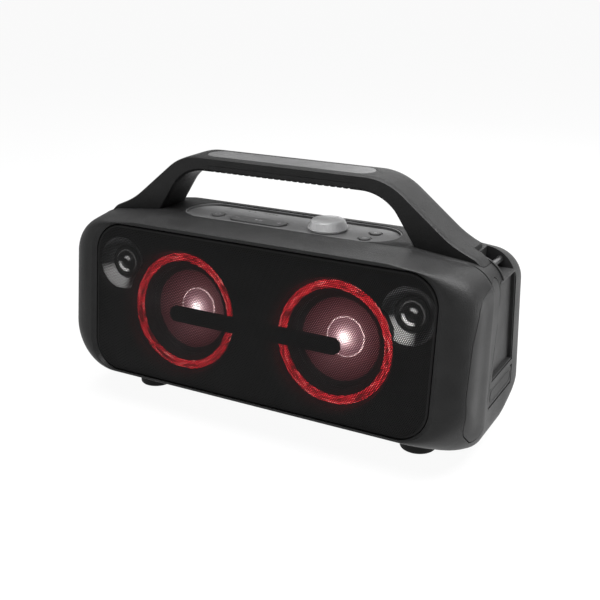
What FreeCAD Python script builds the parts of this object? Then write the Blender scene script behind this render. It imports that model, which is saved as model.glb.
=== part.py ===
import FreeCAD, Part
import math
import os

# Portable party speaker: a wide two-woofer cabinet with a carrying handle over its top.
# Units are millimetres. +X is the listener's right, +Y the back, +Z up. The origin is on the
# ground, under the middle of the cabinet. Front parts are drawn in the "leaning" frame of the
# grille: x across, d the depth behind the grille, v the height up the grille from the woofers'
# centres. The function lean() stands them up in the cabinet.

Vector = FreeCAD.Vector
X_AXIS = Vector(1, 0, 0)
Y_AXIS = Vector(0, 1, 0)
Z_AXIS = Vector(0, 0, 1)

# --- Driving dimensions -----------------------------------------------------------------
HALF_WIDTH = 210.0          # cabinet, side to centre
BASE_Z = 8.5                # underside above the ground, the feet's height
TOP_Z = 188.5               # top of the cabinet beside the control panel
WALL = 3.0                  # thickness of the shells
SEAM_Y = -10.0              # joint between the front and the rear shell
GRILLE_Y = -74.5            # grille face at the height of the woofers
DRIVER_Z = 105.0            # height of the woofers' centres
FRONT_TILT = 6.878          # backward lean of the front, degrees
LIP_DEPTH = -3.0            # the bezel stands this far in front of the grille
BAND_Y = 26.0               # the middle band of the cabinet reaches this far each way
CROWN_HALF = 130.0          # half of the level stretch of the top
SHOULDER_FALL = 0.112       # slope of the top outside that stretch
BAND_SHOULDER = 27.0        # shoulder radius of the middle band and the rear
CROWN_RADIUS = 40.0         # where the level stretch turns into the slope

# Ribs of the cabinet, from its face back to the middle band: the bottom and top points on the
# centreline as (y, z), the half width there and the radii of the shoulders and lower corners.
FRONT_RIBS = [
    ((-86.0, 35.0), (-67.9, 184.9), 186.0, 36.0, 36.0),
    ((-84.4, 34.0), (-66.1, 186.1), 196.0, 36.0, 43.0),
    ((-80.0, 31.4), (-60.0, 186.6), 204.6, 35.5, 47.0),
    ((-68.0, 25.4), (-50.0, 187.3), 209.3, 34.0, 43.0),
    ((-50.0, 17.2), (-37.0, 188.1), HALF_WIDTH, 31.5, 34.0),
    ((-BAND_Y, BASE_Z), (-BAND_Y, TOP_Z), HALF_WIDTH, 29.5, 28.0),
]
REAR_RIBS = [
    ((86.6, 29.9), (75.0, 165.0), 186.0, BAND_SHOULDER, 32.0),
    ((86.0, 27.5), (70.0, 171.5), 196.0, BAND_SHOULDER, 32.0),
    ((80.0, 24.6), (62.0, 178.0), 204.6, BAND_SHOULDER, 31.0),
    ((68.0, 20.0), (50.0, 183.5), 209.3, BAND_SHOULDER, 30.0),
    ((50.0, 13.8), (37.0, 187.6), HALF_WIDTH, BAND_SHOULDER, 29.0),
    ((BAND_Y, BASE_Z), (BAND_Y, TOP_Z), HALF_WIDTH, BAND_SHOULDER, 28.0),
]

GRILLE_HALF = 177.0         # grille, side to centre
GRILLE_TOP = 76.5
GRILLE_BOTTOM = -69.8
GRILLE_TOP_RADIUS = 29.0
GRILLE_BOTTOM_RADIUS = 30.0
GRILLE_THICK = 1.0
GRILLE_FLANGE = 4.0

BAFFLE_FRONT = 5.0          # depth of the baffle's face
BAFFLE_SKIN = 3.0
WELL_FLOOR = 14.0           # depth of the floor under each light ring
WELL_RADIUS = 59.5          # flared mouth of the well around each light ring
WOOFER_X = 80.0
WOOFER_DEPTH = 23.0         # depth of the woofers' mounting flange
WOOFER_OPENING = 44.0
RING_OUTER = 56.0
RING_INNER = 48.8
TWEETER_X = 150.4
TWEETER_V = 38.0
BOWL_RADIUS = 25.5

PANEL_HALF = 113.0          # control panel, a stadium
PANEL_RADIUS = 27.3
PANEL_FLOOR_Z = 185.7
KNOB_X = 41.0
PRESS_GAP = 0.25            # clearance around each button

HANDLE_HALF_DEPTH = 20.8
HANDLE_CREASE_Z = 243.5
HANDLE_UNDER_Z = 230.7
HANDLE_CROWN = 1.2          # rise of the handle's back above its long edges
PLATE_FLOOR_Z = 243.3       # floor of the recess for the handle's top plate
PLATE_HALF = 87.4
PLATE_RADIUS = 13.4
GRIP_HALF = 75.0

PORT_Y = (-20.0, 45.0)      # opening for the sockets, on the right side
PORT_Z = (50.5, 69.8)
SLOT_X = 184.0              # strap slot, inner end
SLOT_Y = (1.0, 27.5)
SLOT_LOW_Z = 166.5          # floor of the slot, above the side channel
WELL_WALL = 2.0             # wall of the pocket under a strap slot
FIT = 0.2                   # gap between fixed pieces that are let into each other
CHANNEL_TOP_Y = (-7.0, 34.5)        # sunken channel down each side
CHANNEL_LOW_Y = (-16.0, 43.5)
CHANNEL_Z = (75.0, 164.3)
CHANNEL_FLOOR_X = 206.0

FOOT_X = 148.0
FOOT_Y = 23.0
FOOT_RADIUS = 17.0


# --- Helpers ----------------------------------------------------------------------------
def block(x_range, y_range, z_range):
    """A box between the given limits."""
    size = [high - low for low, high in (x_range, y_range, z_range)]
    return Part.makeBox(*size, Vector(x_range[0], y_range[0], z_range[0]))


def tube(inner, outer, start, length, axis=Y_AXIS):
    """A straight tube from the point start along axis."""
    solid = Part.makeCylinder(outer, length, start, axis)
    return solid.cut(Part.makeCylinder(inner, length, start, axis))


def lean(shape):
    """Stand a shape of the grille's leaning frame up in the cabinet."""
    stood = shape.copy()
    stood.rotate(Vector(0, 0, 0), X_AXIS, -FRONT_TILT)
    stood.translate(Vector(0, GRILLE_Y, DRIVER_Z))
    return stood


def revolve(profile, x=0.0, v=0.0):
    """Turn a closed (radius, depth) profile about the depth axis through (x, v)."""
    points = [Vector(radius, depth, 0) for radius, depth in profile]
    face = Part.Face(Part.makePolygon(points + points[:1]))
    solid = face.revolve(Vector(0, 0, 0), Y_AXIS, 360)
    solid.translate(Vector(x, 0, v))
    return solid


def corner_arc(before, corner, after, radius):
    """Start, middle and end of the arc that rounds one corner of a flat outline."""
    to_before = (before - corner).normalize()
    to_after = (after - corner).normalize()
    half = to_before.getAngle(to_after) / 2
    inward = (to_before + to_after).normalize()
    reach = radius / math.tan(half)
    start = corner + to_before * reach
    end = corner + to_after * reach
    middle = corner + inward * (radius / math.sin(half) - radius)
    return start, middle, end


def rounded_wire(corners, place):
    """A closed outline through (a, b, radius) corners; place(a, b) lays it in space."""
    points = [Vector(a, b, 0) for a, b, _ in corners]
    arcs = []
    for i, corner in enumerate(corners):
        after = points[(i + 1) % len(points)]
        arcs.append(corner_arc(points[i - 1], points[i], after, corner[2]))
    edges = []
    for i, arc in enumerate(arcs):
        start, middle, end = [place(p.x, p.y) for p in arc]
        edges.append(Part.Arc(start, middle, end).toShape())
        following = arcs[(i + 1) % len(arcs)][0]
        following = place(following.x, following.y)
        if end.distanceToPoint(following) > 1e-4:
            edges.append(Part.LineSegment(end, following).toShape())
    return Part.Wire(edges)


def prism(wire, direction):
    """The solid swept by a flat closed wire along a vector."""
    return Part.Face(wire).extrude(direction)


def stadium(half_length, radius, low_z, high_z, x=0.0, y=0.0):
    """An upright solid with straight sides along X and round ends."""
    solid = Part.makeCylinder(radius, high_z - low_z, Vector(x, y, low_z))
    straight = half_length - radius
    if straight > 0:
        ends = [Part.makeCylinder(radius, high_z - low_z, Vector(x + side * straight, y, low_z))
                for side in (-1, 1)]
        middle = block((x - straight, x + straight), (y - radius, y + radius), (low_z, high_z))
        solid = middle.fuse(ends).removeSplitter()
    return solid


def on_both_sides(make):
    """The shapes that make(side) gives for the left (-1) and the right (1)."""
    return Part.makeCompound([make(side) for side in (-1, 1)])


def export(name, shape):
    """Write one sub-part."""
    shape.exportStep("parts/" + name + ".step")


# --- Cabinet ----------------------------------------------------------------------------
def rib(bottom, top, half_width, shoulder, foot, inset):
    """One cross-section of the cabinet through two points of its centreline."""
    rise = math.dist(bottom, top)
    slope_y = (top[0] - bottom[0]) / rise
    slope_z = (top[1] - bottom[1]) / rise
    width = half_width - inset
    shoulder_rise = rise - SHOULDER_FALL * (width - CROWN_HALF) - inset
    half = [
        (width, inset, foot - inset),
        (width, shoulder_rise, shoulder - inset),
        (CROWN_HALF, rise - inset, CROWN_RADIUS),
    ]
    corners = half + [(-a, b, radius) for a, b, radius in reversed(half)]

    def place(a, b):
        return Vector(a, bottom[0] + b * slope_y, bottom[1] + b * slope_z)

    return rounded_wire(corners, place)


def end_of_cabinet(ribs, inset):
    """The front or the rear of the cabinet, lofted from its face to the middle band."""
    wires = []
    inward = math.copysign(inset, ribs[-1][0][0] - ribs[0][0][0])
    for bottom, top, half_width, shoulder, foot in ribs:
        shift = 0.0 if bottom == ribs[-1][0] else inward
        low = (bottom[0] + shift, bottom[1])
        high = (top[0] + shift, top[1])
        wires.append(rib(low, high, half_width, shoulder, foot, inset))
    return Part.makeLoft(wires, True, False)


def cabinet(inset):
    """The cabinet's outer shape, or the same shape moved inwards by inset."""
    bottom, top, half_width, _, foot = FRONT_RIBS[-1]
    band = rib(bottom, top, half_width, BAND_SHOULDER, foot, inset)
    middle = prism(band, Vector(0, 2 * BAND_Y, 0))
    front = end_of_cabinet(FRONT_RIBS, inset)
    rear = end_of_cabinet(REAR_RIBS, inset)
    return middle.fuse([front, rear])


def grille_outline(side_offset, top_offset, bottom_offset, depth):
    """The grille's outline, moved outwards, at a depth behind the grille."""
    half = [
        (GRILLE_HALF + side_offset, GRILLE_BOTTOM - bottom_offset,
         GRILLE_BOTTOM_RADIUS + bottom_offset),
        (GRILLE_HALF + side_offset, GRILLE_TOP + top_offset, GRILLE_TOP_RADIUS + top_offset),
    ]
    corners = half + [(-a, b, radius) for a, b, radius in reversed(half)]
    return rounded_wire(corners, lambda a, b: Vector(a, depth, b))


def grille_slab(offset, near, far):
    """A slab with the grille's outline, moved outwards, between two depths."""
    wire = grille_outline(offset, offset, offset, near)
    return prism(wire, Vector(0, far - near, 0))


OUTER = cabinet(0.0)
RAISED = cabinet(-1.2)
INNER = cabinet(WALL)
PAD_BED = cabinet(2.2)
BEHIND_FRONT = lean(block((-300, 300), (8.0, 400), (-300, 300)))
CAVITY = INNER.common(BEHIND_FRONT)


# The leaf-shaped outline of a side pad: corners as (y, z, radius), with the direction in
# which each one moves when the outline grows.
LEAF = [
    (-12.5, 171.0, 4.0, 1, 1),
    (-55.5, 158.5, 16.0, -1, 1),
    (-64.5, 128.0, 60.0, -1, 0),
    (-72.0, 78.0, 60.0, -1, 0),
    (-68.5, 48.0, 30.0, -1, -1),
    (-42.0, 26.0, 6.0, 0, -2),
    (-23.0, 66.0, 70.0, 1, 0),
    (-9.0, 140.0, 60.0, 1, 0),
]


def leaf(margin):
    """The outline of a side pad, grown by margin, as a prism through the cabinet."""
    corners = [(y + margin * grow_y, z + margin * grow_z, radius)
               for y, z, radius, grow_y, grow_z in LEAF]
    wire = rounded_wire(corners, lambda a, b: Vector(-HALF_WIDTH - 10, a, b))
    return prism(wire, Vector(2 * HALF_WIDTH + 20, 0, 0))


def side_region(side, inner_x, y_range, z_range):
    """A block over one side of the cabinet, from inner_x outwards."""
    x_range = sorted((side * inner_x, side * (HALF_WIDTH + 10)))
    return block(x_range, y_range, z_range)


def channel(side, inner_x, margin):
    """The tapering room of the side channel, shrunk by margin, from inner_x outwards."""
    low, high = CHANNEL_Z[0] + margin, CHANNEL_Z[1] - margin
    outline = [(CHANNEL_LOW_Y[0] + margin, low), (CHANNEL_LOW_Y[1] - margin, low),
               (CHANNEL_TOP_Y[1] - margin, high), (CHANNEL_TOP_Y[0] + margin, high)]
    points = [Vector(side * inner_x, y, z) for y, z in outline]
    depth = HALF_WIDTH + 10 - inner_x
    return prism(Part.makePolygon(points + points[:1]), Vector(side * depth, 0, 0))


def channel_cut(side):
    """The opening for a side panel, with the strap slot in the shoulder above it."""
    return channel(side, 196.0, 0.0).fuse(strap_room(side, WELL_WALL + FIT))


SCREW_LOW_Z = 20.0
SCREW_HIGH_Z = 168.0


def screw_places():
    """Centres (x, z) of the long screws that hold the shells together."""
    places = ((152, SCREW_HIGH_Z), (160, SCREW_LOW_Z), (100, SCREW_LOW_Z))
    return [(side * x, z) for side in (-1, 1) for x, z in places]


def screw_post(x, z, start, end):
    """One tubular post along Y for a shell screw, with the web that ties it to the skin."""
    post = Part.makeCylinder(5.0, end - start, Vector(x, start, z), Y_AXIS)
    skin_z = TOP_Z if z > DRIVER_Z else BASE_Z
    web = block((x - 1.5, x + 1.5), (start, end), sorted((z, skin_z)))
    bore = Part.makeCylinder(1.8, end - start, Vector(x, start, z), Y_AXIS)
    return post.fuse(web).cut(bore).common(PAD_BED)


def shells():
    """The front and the rear shell, split at the seam."""
    skin = OUTER.cut(CAVITY)
    mouth = Part.makeLoft([grille_outline(5.0, 1.9, -0.6, LIP_DEPTH - 0.2),
                           grille_outline(0.0, 0.0, 0.0, 0.5)], True, True)
    skin = skin.cut([lean(mouth), lean(grille_slab(0.5, -0.5, 9.0))])
    skin = skin.cut(stadium(PANEL_HALF, PANEL_RADIUS, 170, 200))
    skin = skin.cut([channel_cut(-1), channel_cut(1)])
    skin = skin.cut(side_region(1, 196.0, PORT_Y, PORT_Z))
    for side in (-1, 1):
        over_pad = OUTER.common(leaf(0.6)).common(side_region(side, 150.0, (-90, 0), (0, 200)))
        skin = skin.cut(over_pad.cut(PAD_BED))
    skin = skin.cut(feet())
    front = skin.common(block((-300, 300), (-200, SEAM_Y), (0, 300)))
    rear = skin.common(block((-300, 300), (SEAM_Y, 200), (0, 300)))
    front = front.fuse([screw_post(x, z, -34, SEAM_Y) for x, z in screw_places()])
    rear = rear.fuse([screw_post(x, z, SEAM_Y, 80) for x, z in screw_places()])
    rear = rear.fuse(board_posts())
    screw_wells = [Part.makeCylinder(3.8, 80, Vector(x, 30, z), Y_AXIS)
                   for x, z in screw_places()]
    rear = rear.cut(screw_wells + [bass_port_hole()])
    return front, rear


def side_panel(side):
    """The sunken strip down one side: a shallow tray with a flange behind the skin."""
    lip = side_region(side, HALF_WIDTH - 0.8, (-90, 90), (0, 200))
    behind = side_region(side, HALF_WIDTH - WALL, (-90, 90), (0, 200))
    tray = channel(side, CHANNEL_FLOOR_X - 2.5, FIT).cut(lip)
    tray = tray.cut(channel(side, CHANNEL_FLOOR_X, FIT + 1.6))
    flange = channel(side, CHANNEL_FLOOR_X - 2.5, -3.0).cut(channel(side, 190.0, FIT))
    flange = flange.cut(behind).common(INNER)
    return tray.fuse(flange).cut(strap_room(side, WELL_WALL + FIT))


def side_pad(side):
    """The soft leaf-shaped pad let into one side of the front shell."""
    pad = OUTER.common(leaf(0.0)).common(side_region(side, 150.0, (-90, 0), (0, 200)))
    return pad.cut(PAD_BED)


def strap_room(side, margin):
    """The room of one strap slot, grown by margin to the front, the back and below."""
    y_range = (SLOT_Y[0] - margin, SLOT_Y[1] + margin)
    return side_region(side, SLOT_X - margin, y_range, (SLOT_LOW_Z - margin, 200.0))


def strap_well(side):
    """The pocket under one strap slot, with a raised rim around the slot's mouth."""
    return strap_room(side, WELL_WALL).common(RAISED).cut(strap_room(side, 0.0))


STRAP_BAR_RADIUS = 3.0
STRAP_BAR_X = 196.5
STRAP_BAR_Z = 173.8


def strap_bar(side):
    """The bar across one strap slot, level with the shoulder."""
    return Part.makeCylinder(STRAP_BAR_RADIUS, SLOT_Y[1] - SLOT_Y[0],
                             Vector(side * STRAP_BAR_X, SLOT_Y[0], STRAP_BAR_Z), Y_AXIS)


def feet():
    """Four round rubber feet that follow the cabinet's underside."""
    pads = []
    for side in (-1, 1):
        for end in (-1, 1):
            centre = Vector(side * FOOT_X, end * FOOT_Y, 0)
            pad = Part.makeCylinder(FOOT_RADIUS, BASE_Z + 8.0, centre)
            rim = [edge for edge in pad.Edges if edge.BoundBox.ZMax < 0.1]
            pads.append(pad.makeFillet(2.5, rim[:1]))
    return Part.makeCompound(pads)


def foot_pads():
    """The feet, cut level with the inside of the shell's skin."""
    shaved = [pad.common(OUTER.cut(PAD_BED)).fuse(pad.cut(OUTER)).removeSplitter()
              for pad in feet().Solids]
    return Part.makeCompound(shaved)


# --- Front: grille, baffle, lights and drivers ---------------------------------------------
def grille():
    """The metal grille, a thin plate with its edge turned back."""
    plate = grille_slab(0.0, 0.0, BAFFLE_FRONT)
    return plate.cut(grille_slab(-GRILLE_THICK, GRILLE_THICK, BAFFLE_FRONT + 1))


def centre_bar():
    """The bridge that runs behind the grille from one woofer to the other."""
    bar = stadium(90.0, 7.8, 0.0, BAFFLE_FRONT - 2.0)
    bar.rotate(Vector(0, 0, 0), X_AXIS, -90)
    bar.translate(Vector(0, 2.0, -0.8))
    return bar


def well_cut(side):
    """The flared room in front of one light ring and the woofer's opening behind it."""
    return revolve([(0, 0), (WELL_RADIUS, 0), (WELL_RADIUS, BAFFLE_FRONT + 0.4),
                    (RING_OUTER + 0.5, WELL_FLOOR - 3.5), (RING_OUTER + 0.5, WELL_FLOOR),
                    (WOOFER_OPENING, WELL_FLOOR), (WOOFER_OPENING, 30), (0, 30)],
                   side * WOOFER_X)


def well_wall(side):
    """The body of the baffle around one light ring, with the neck that holds the woofer."""
    floor = WELL_FLOOR + BAFFLE_SKIN
    return revolve([(0, BAFFLE_FRONT), (WELL_RADIUS + 1, BAFFLE_FRONT), (WELL_RADIUS + 1, floor),
                    (WOOFER_OPENING + 4, floor), (WOOFER_OPENING + 4, WOOFER_DEPTH),
                    (0, WOOFER_DEPTH)], side * WOOFER_X)


def baffle():
    """The board behind the grille that carries the drivers and the lights."""
    face = grille_slab(-0.2, BAFFLE_FRONT, BAFFLE_FRONT + BAFFLE_SKIN)
    flange = grille_slab(1.0, 8.0, 11.0).cut(grille_slab(-6.0, 7.0, 12.0))
    flange = lean(flange).common(INNER)
    board = lean(face.fuse([well_wall(-1), well_wall(1)])).fuse(flange)
    holes = [well_cut(side) for side in (-1, 1)]
    holes += [Part.makeCylinder(BOWL_RADIUS + 0.2, 20, Vector(side * TWEETER_X, 0, TWEETER_V),
                                Y_AXIS).cut(well_wall(side)) for side in (-1, 1)]
    return board.cut([lean(hole) for hole in holes])


def light_ring(side):
    """A light guide ring with a rounded front, on the well's floor."""
    middle = (RING_OUTER + RING_INNER) / 2
    front = 9.9
    profile = [(RING_INNER, WELL_FLOOR), (RING_INNER, front + 1.4),
               (RING_INNER + 1.2, front + 0.4), (middle, front), (RING_OUTER - 1.2, front + 0.4),
               (RING_OUTER, front + 1.4), (RING_OUTER, WELL_FLOOR),
               (RING_OUTER - 1.2, WELL_FLOOR), (RING_OUTER - 1.2, 12.6),
               (RING_INNER + 1.2, 12.6), (RING_INNER + 1.2, WELL_FLOOR)]
    return revolve(profile, side * WOOFER_X)


def light_board(side):
    """The circuit ring with its lamps, inside the light guide."""
    board = tube(RING_INNER + 1.3, RING_OUTER - 1.3, Vector(0, 13.0, 0), 1.0)
    board.translate(Vector(side * WOOFER_X, 0, 0))
    return board


def woofer_part(profile, side):
    """A turned part of one woofer; its profile counts the depth from the mounting flange."""
    return revolve([(radius, depth + WOOFER_DEPTH) for radius, depth in profile],
                   side * WOOFER_X)


def basket(side):
    """The pressed frame of a woofer, with windows in its cone."""
    frame = woofer_part([(43.6, 0), (56.0, 0), (56.0, 1.6), (49.5, 1.6), (32.0, 27.0),
                         (32.0, 30.0), (14.6, 30.0), (14.6, 28.4), (30.4, 28.4), (30.4, 26.6),
                         (47.0, 1.6), (43.6, 1.6)], side)
    windows = []
    for i in range(6):
        window = block((-10, 10), (WOOFER_DEPTH + 6, WOOFER_DEPTH + 21), (20.0, 60.0))
        window.rotate(Vector(0, 0, 0), Y_AXIS, 60 * i + 30)
        window.translate(Vector(side * WOOFER_X, 0, 0))
        windows.append(window)
    return frame.cut(windows)


def magnet(side):
    """The magnet with its top plate, back plate and pole, open for the voice coil."""
    return woofer_part([(0, 29.9), (11.8, 29.9), (11.8, 43.0), (14.6, 43.0), (14.6, 30.0),
                        (31.0, 30.0), (31.0, 34.0), (36.0, 34.0), (36.0, 44.0), (31.0, 44.0),
                        (31.0, 48.0), (0, 48.0)], side)


def surround(side):
    """The rubber half roll between the cone and the basket."""
    return woofer_part([(38.2, 2.4), (38.2, 1.8), (39.2, 0), (40.7, -0.8), (42.2, 0),
                        (43.5, 0.6), (43.5, 1.6), (42.4, 1.6), (41.6, 0.7), (40.7, 0),
                        (39.8, 0.7), (39.0, 2.4)], side)


def cone(side):
    """The woofer's paper cone."""
    return woofer_part([(38.1, 2.0), (38.1, 3.2), (36.5, 3.6), (14.0, 16.6), (14.0, 15.6),
                        (36.2, 2.8), (37.2, 2.0)], side)


def dust_cap(side):
    """The cap over the cone's neck, a shallow dome."""
    rim = [(18.3, 12.3), (18.8, 12.7), (17.4, 13.4)]
    inner = [(13.6, 12.0), (8.0, 10.6), (0, 10.0)]
    outer = [(0, 9.2), (8.0, 9.8), (13.8, 11.0)]
    return woofer_part(rim + inner + outer, side)


def voice_coil(side):
    """The tube that carries the coil, from the cone's neck into the magnet."""
    return woofer_part([(12.9, 16.2), (13.9, 16.2), (13.9, 37.0), (12.5, 37.0), (12.5, 29.0),
                        (12.9, 29.0)], side)


def spider(side):
    """The corrugated disc that centres the voice coil."""
    waves = [(14.0 + 2.0 * i, 23.6 + (i % 2) * 1.2) for i in range(9)]
    back = [(radius, depth + 0.7) for radius, depth in reversed(waves)]
    return woofer_part(waves + back, side)


def tweeter_bowl(side):
    """The flared dish around a tweeter, trimmed where the light ring's well passes."""
    bowl = revolve([(BOWL_RADIUS, 5.0), (23.6, 7.8), (20.4, 10.8), (16.2, 13.2), (16.2, 15.0),
                    (21.4, 12.4), (24.8, 9.6), (BOWL_RADIUS, 8.0)], side * TWEETER_X, TWEETER_V)
    return bowl.cut(well_wall(side))


def tweeter_frame(side):
    """The black rings and the motor of a tweeter."""
    return revolve([(6.2, 13.0), (8.6, 12.4), (10.6, 11.6), (12.4, 12.4), (15.0, 11.8),
                    (16.1, 12.6), (16.1, 16.0), (14.0, 16.0), (14.0, 26.0), (0, 26.0),
                    (0, 15.0), (6.2, 15.0)], side * TWEETER_X, TWEETER_V)


def tweeter_dome(side):
    """The silk dome of a tweeter."""
    rim = 6.1
    arc = [(rim * math.cos(math.radians(a)), 14.4 - 4.6 * math.sin(math.radians(a)))
           for a in range(0, 91, 15)]
    return revolve(arc[:-1] + [(0, 9.8), (0, 10.5), (3.0, 11.2), (5.2, 14.4)],
                   side * TWEETER_X, TWEETER_V)


# --- Control panel -----------------------------------------------------------------------
# Each button: name, centre (x, y), half length, radius, height above the panel's floor.
BUTTONS = {
    "power_button": (-76.8, -4.6, 6.3, 6.3, 1.2),
    "transport_button": (-30.0, -6.8, 30.0, 8.0, 1.2),
    "mode_button": (83.2, -10.8, 5.2, 5.2, 0.9),
    "light_button": (85.2, 8.4, 5.2, 5.2, 0.9),
}
BUTTON_BASE_Z = 181.6
INDICATOR_X = (-77.8, -56.6, -50.1, -37.3, -33.5, -29.6, -25.7)
INDICATOR_Y = 20.8
BOARD_Z = 173.0
BOARD_THICK = 1.6


def control_panel():
    """The dished panel with its openings for the buttons, the lights and the knob."""
    base = stadium(PANEL_HALF - 0.2, PANEL_RADIUS - 0.2, 183.2, 188.0)
    hollow = stadium(PANEL_HALF - 1.6, PANEL_RADIUS - 1.6, PANEL_FLOOR_Z, 190.0)
    panel = base.cut(hollow)
    for x, y, half_length, radius, _ in BUTTONS.values():
        panel = panel.cut(stadium(half_length + 1.6, radius + 1.6, 185.0, 187.0, x, y))
        panel = panel.cut(stadium(half_length + PRESS_GAP, radius + PRESS_GAP,
                                  180.0, 190.0, x, y))
    panel = panel.cut(Part.makeCylinder(5.0, 10, Vector(KNOB_X, 0, 180)))
    for x in INDICATOR_X:
        panel = panel.cut(Part.makeCylinder(0.9, 10, Vector(x, INDICATOR_Y, 180)))
    return panel


def button(name):
    """A button with a softly rounded top."""
    x, y, half_length, radius, proud = BUTTONS[name]
    cap = stadium(half_length, radius, BUTTON_BASE_Z, PANEL_FLOOR_Z + proud, x, y)
    top = [edge for edge in cap.Edges if edge.BoundBox.ZMin > PANEL_FLOOR_Z]
    return cap.makeFillet(0.6, top)


def knob():
    """The volume knob: a faceted cone with a bevelled top and an index mark."""
    sides = 28
    levels = [(186.2, 18.2), (188.0, 18.8), (194.2, 16.0), (195.4, 14.9)]
    wires = []
    for z, radius in levels:
        turn = [2 * math.pi * i / sides for i in range(sides)]
        points = [Vector(KNOB_X + radius * math.cos(a), radius * math.sin(a), z) for a in turn]
        wires.append(Part.makePolygon(points + points[:1]))
    body = Part.makeLoft(wires, True, True)
    mark = block((KNOB_X - 0.6, KNOB_X + 0.6), (7.5, 22.0), (194.8, 198.0))
    mark.rotate(Vector(KNOB_X, 0, 0), Z_AXIS, -20)
    bore = Part.makeCylinder(3.0, 7.0, Vector(KNOB_X, 0, 186.0))
    return body.cut([mark, bore])


def knob_shaft():
    """The encoder's shaft, pressed into the knob."""
    return Part.makeCylinder(3.0, 25.0, Vector(KNOB_X, 0, 168.0))


def knob_encoder():
    """The rotary encoder on the button board, with the bearing for its shaft."""
    body = block((KNOB_X - 6.5, KNOB_X + 6.5), (-6.5, 6.5), (166.0, BOARD_Z))
    collar = Part.makeCylinder(4.4, 8.0, Vector(KNOB_X, 0, BOARD_Z))
    return body.fuse(collar).cut(Part.makeCylinder(3.05, 30.0, Vector(KNOB_X, 0, 167.5)))


def indicator_lights():
    """The light pipes of the status lamps."""
    height = PANEL_FLOOR_Z + 0.15 - BOARD_Z - BOARD_THICK
    return Part.makeCompound([
        Part.makeCylinder(0.9, height, Vector(x, INDICATOR_Y, BOARD_Z + BOARD_THICK))
        for x in INDICATOR_X])


def button_board():
    """The circuit board under the panel, with a switch under each button."""
    board = stadium(PANEL_HALF - 8, 22.0, BOARD_Z, BOARD_Z + BOARD_THICK)
    board = board.cut(Part.makeCylinder(4.4, 10, Vector(KNOB_X, 0, BOARD_Z - 1)))
    places = [(x, y) for x, y, _, _, _ in BUTTONS.values()]
    long_x, long_y = places[1]
    places += [(long_x - 20, long_y), (long_x + 20, long_y)]
    switches = [block((x - 3, x + 3), (y - 3, y + 3), (BOARD_Z, BUTTON_BASE_Z - 0.95))
                for x, y in places]
    return board.fuse(switches)


# --- Handle ------------------------------------------------------------------------------
def handle_wire(y, rise, under):
    """The handle's outline at depth y: its back raised by rise, its underside by under."""
    inner_lift = HANDLE_UNDER_Z + under
    half = [
        (204.0, 165.0, 3.0),
        (204.0, 171.0 + rise, 2.0),
        (190.0, 184.0 + rise, 14.0),
        (168.0, 193.5 + rise, 90.0),
        (106.6, HANDLE_CREASE_Z + rise, 57.0),
    ]
    mirrored = [(-x, z, radius) for x, z, radius in reversed(half)]
    arch = [
        (-148.0 - under, 165.0, 4.0),
        (-106.2 + under * 0.4, inner_lift, 43.0),
        (106.2 - under * 0.4, inner_lift, 43.0),
        (148.0 + under, 165.0, 4.0),
    ]
    return rounded_wire(half + mirrored + arch, lambda a, b: Vector(a, y, b))


def handle_body():
    """The whole handle, crowned along its back and eased along its underside."""
    stations = [(-HANDLE_HALF_DEPTH, 0.0, 2.6), (-18.6, 1.0, 0.4), (-14.0, HANDLE_CROWN, 0.0),
                (14.0, HANDLE_CROWN, 0.0), (18.6, 1.0, 0.4), (HANDLE_HALF_DEPTH, 0.0, 2.6)]
    wires = [handle_wire(*station) for station in stations]
    body = Part.makeLoft(wires, True, True).cut(OUTER)
    tail_cut = (SLOT_Y[0] - WELL_WALL - FIT, 60)
    slots = [side_region(side, SLOT_X - WELL_WALL - FIT, tail_cut, (150.0, 200.0))
             for side in (-1, 1)]
    return body.cut(slots)


def plate_space(margin):
    """The room for the top plate of the handle."""
    return stadium(PLATE_HALF + margin, PLATE_RADIUS + margin, PLATE_FLOOR_Z - margin, 260.0)


def grip_space(margin):
    """The room for the rubber grip, around the lower half of the handle."""
    return block((-GRIP_HALF - margin, GRIP_HALF + margin), (-30, 30), (220, 237.2 + margin))


GRIP_CORE = block((-100, 100), (-HANDLE_HALF_DEPTH + 2.6, HANDLE_HALF_DEPTH - 2.6),
                  (HANDLE_UNDER_Z + 3.4, 260))


def handle_half(body, side):
    """The front (-1) or rear (1) half of the handle."""
    y_range = sorted((0, side * 40))
    half = body.common(block((-250, 250), y_range, (150, 260)))
    half = half.cut(plate_space(0.0))
    return half.cut(grip_space(0.0).cut(GRIP_CORE))


def handle_top_plate():
    """The thin plate let into the back of the handle."""
    top_z = HANDLE_CREASE_Z + HANDLE_CROWN + 0.2
    plate = stadium(PLATE_HALF - 0.3, PLATE_RADIUS - 0.3, PLATE_FLOOR_Z, top_z)
    top = [edge for edge in plate.Edges if edge.BoundBox.ZMin > top_z - 0.1]
    return plate.makeFillet(0.5, top)


def handle_grip(body):
    """The ribbed rubber sleeve under the handle."""
    sleeve = body.common(grip_space(-0.2)).cut(GRIP_CORE)
    pitch = 6.4
    grooves = []
    for i in range(-11, 12):
        grooves.append(block((i * pitch - 1.3, i * pitch + 1.3), (-30, 30),
                             (220, HANDLE_UNDER_Z + 1.3)))
    return sleeve.cut(grooves)


# --- Sockets behind the flap -----------------------------------------------------------------
PORT_FLOOR_X = 202.0
USB_Y = 0.0
AUX_Y = 26.0
PORT_MIDDLE_Z = (PORT_Z[0] + PORT_Z[1]) / 2
JACK_RADIUS = 1.8


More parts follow.
